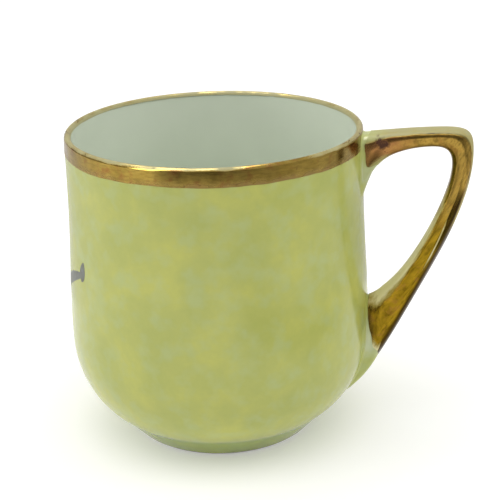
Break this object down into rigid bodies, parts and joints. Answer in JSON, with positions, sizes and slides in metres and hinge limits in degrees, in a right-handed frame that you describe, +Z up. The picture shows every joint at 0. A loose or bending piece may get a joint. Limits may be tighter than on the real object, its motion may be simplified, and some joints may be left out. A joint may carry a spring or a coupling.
{
  "type": "coffee cup",
  "caption": "Porcelain coffee cup with a gently swelling wall, a small sloping foot, a gilt lip and a gilt angular ear handle.",
  "frame": {"origin": "centre of the foot, on the plane that the cup stands on", "axes": "+Z up along the axis of the cup, +X towards the handle, +Y to the left of someone who looks along the handle from the cup"},
  "size_m": [0.0966, 0.0728, 0.0755],
  "materials": {
    "porcelain": "fired porcelain, smooth and unglazed on the foot's face",
    "ground": "glossy painted ground, faintly clouded",
    "white_glaze": "glossy white glaze",
    "gilding": "burnished gilding, worn a little",
    "slip": "fired slip"
  },
  "bodies": {
    "root": {"bowl": "porcelain", "foot_ring": "porcelain", "ground_coat": "ground", "inside_glaze": "white_glaze", "rim_gilding": "gilding", "handle": "white_glaze", "handle_gilding": "gilding", "upper_luting": "slip", "lower_luting": "slip"}
  },
  "joints": []
}
